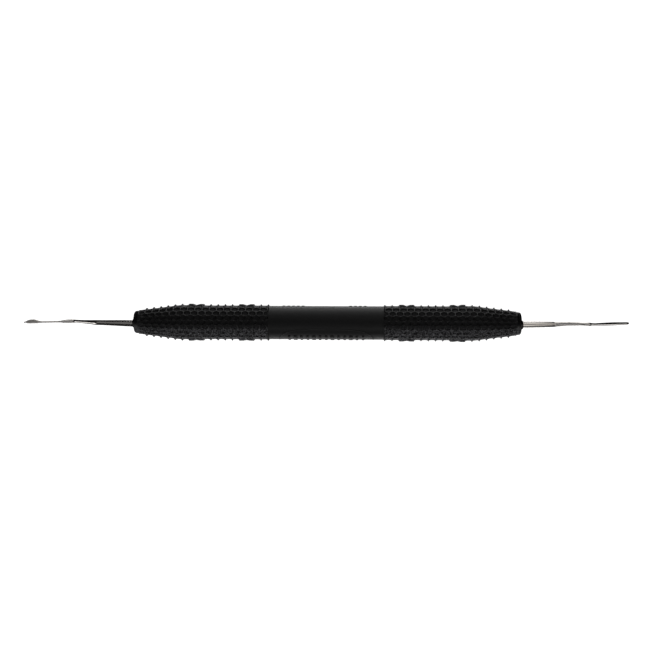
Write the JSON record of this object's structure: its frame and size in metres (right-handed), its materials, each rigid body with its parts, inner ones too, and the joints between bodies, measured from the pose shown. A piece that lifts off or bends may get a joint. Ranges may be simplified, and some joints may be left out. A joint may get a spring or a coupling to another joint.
{
  "type": "double-ended hand tool",
  "caption": "Slim double-ended hand tool: a textured rubber grip with a smooth middle band, a bent leaf-shaped steel tip at one end and a bent slender point at the other.",
  "frame": {"origin": "middle of the grip, on the grip's axis", "axes": "+X along the tool towards the slender point, -X towards the leaf-shaped tip; the tips' bends lie close to the XZ plane"},
  "size_m": [0.1701, 0.0104, 0.0104],
  "materials": {
    "grip_rubber": "moulded black silicone rubber, satin with a fine spark-eroded grain",
    "tip_steel": "polished stainless steel",
    "core_metal": "drawn tube, satin",
    "socket_metal": "turned"
  },
  "bodies": {
    "root": {"grip_sleeve": "grip_rubber", "core_tube": "core_metal", "left_socket": "socket_metal", "right_socket": "socket_metal", "left_tip": "tip_steel", "right_tip": "tip_steel"}
  },
  "joints": []
}
